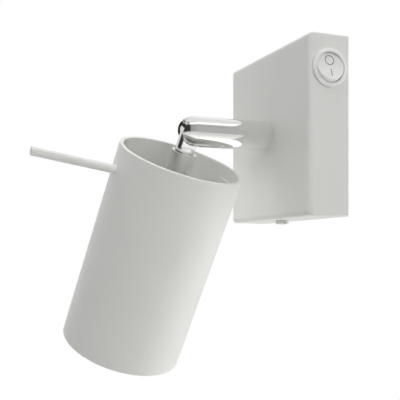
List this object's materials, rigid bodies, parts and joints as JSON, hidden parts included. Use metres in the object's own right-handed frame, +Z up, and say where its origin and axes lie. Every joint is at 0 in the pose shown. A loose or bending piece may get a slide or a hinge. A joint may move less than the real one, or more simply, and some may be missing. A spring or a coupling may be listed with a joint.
{
  "type": "pivoting spotlight wall light",
  "caption": "Wall light with a square wall box, rocker switch, chrome arm with swivel and hinge, tube shade, aiming rod and spot lamp.",
  "frame": {"origin": "middle of the wall box's back, on the wall plane", "axes": "+Z up, +X along the wall towards the rocker switch, -Y out from the wall"},
  "size_m": [0.1175, 0.1316, 0.1571],
  "materials": {
    "white_paint": "fine satin powder coat",
    "shade_paint": "fine satin powder coat",
    "chrome": "polished",
    "zinc_steel": "zinc plated",
    "brass": "plain",
    "white_plastic": "semi gloss",
    "nylon": "natural nylon",
    "rubber": "matt",
    "ceramic": "glazed ceramic",
    "lamp_plastic": "semi gloss",
    "lens": "clear",
    "lead_sleeve": "silicone"
  },
  "bodies": {
    "wall_box": {"canopy_box": "white_paint", "wall_plate": "zinc_steel", "cable_grommet": "rubber", "cover_screws": "white_paint", "earth_screw": "brass", "terminal_block": "nylon", "terminal_screws": "zinc_steel", "switch_body": "white_plastic", "switch_terminals": "brass", "swivel_bush": "nylon", "stop_pin": "zinc_steel", "canopy_leads": "lead_sleeve"},
    "rocker": {"switch_rocker": "white_plastic"},
    "arm": {"arm_barrel": "chrome", "arm_nut": "zinc_steel", "arm_spring_washer": "zinc_steel", "stop_washer": "zinc_steel", "hinge_pin": "chrome", "hinge_washers": "nylon", "arm_leads": "lead_sleeve"},
    "head": {"head_stem": "chrome", "shade_tube": "shade_paint", "shade_bracket": "shade_paint", "stem_washer": "zinc_steel", "stem_nut": "zinc_steel", "aiming_rod": "shade_paint", "rod_nut": "zinc_steel", "lampholder": "ceramic", "lampholder_contacts": "brass", "holder_spacers": "zinc_steel", "holder_screws": "zinc_steel", "head_leads": "lead_sleeve"},
    "lamp": {"lamp_body": "lamp_plastic", "lamp_lens": "lens", "lamp_pins": "brass"}
  },
  "joints": [
    {"name": "arm_swivel", "type": "hinge", "parent": "wall_box", "child": "arm", "pos_m": [0, 0, 0], "axis": [0, 1, 0], "range_deg": [-185, 135]},
    {"name": "head_tilt", "type": "hinge", "parent": "arm", "child": "head", "pos_m": [0, -0.059, 0], "axis": [0.9063, 0, -0.4226], "range_deg": [-80.2, 9.8]},
    {"name": "switch_rock", "type": "hinge", "parent": "wall_box", "child": "rocker", "pos_m": [0.039, -0.01, 0.0248], "axis": [0, 0.9986, 0.0523], "range_deg": [0, 28]},
    {"name": "lamp_twist", "type": "hinge", "parent": "head", "child": "lamp", "pos_m": [0, -0.059, 0], "axis": [-0.4165, -0.1702, -0.8931], "range_deg": [0, 20]}
  ]
}
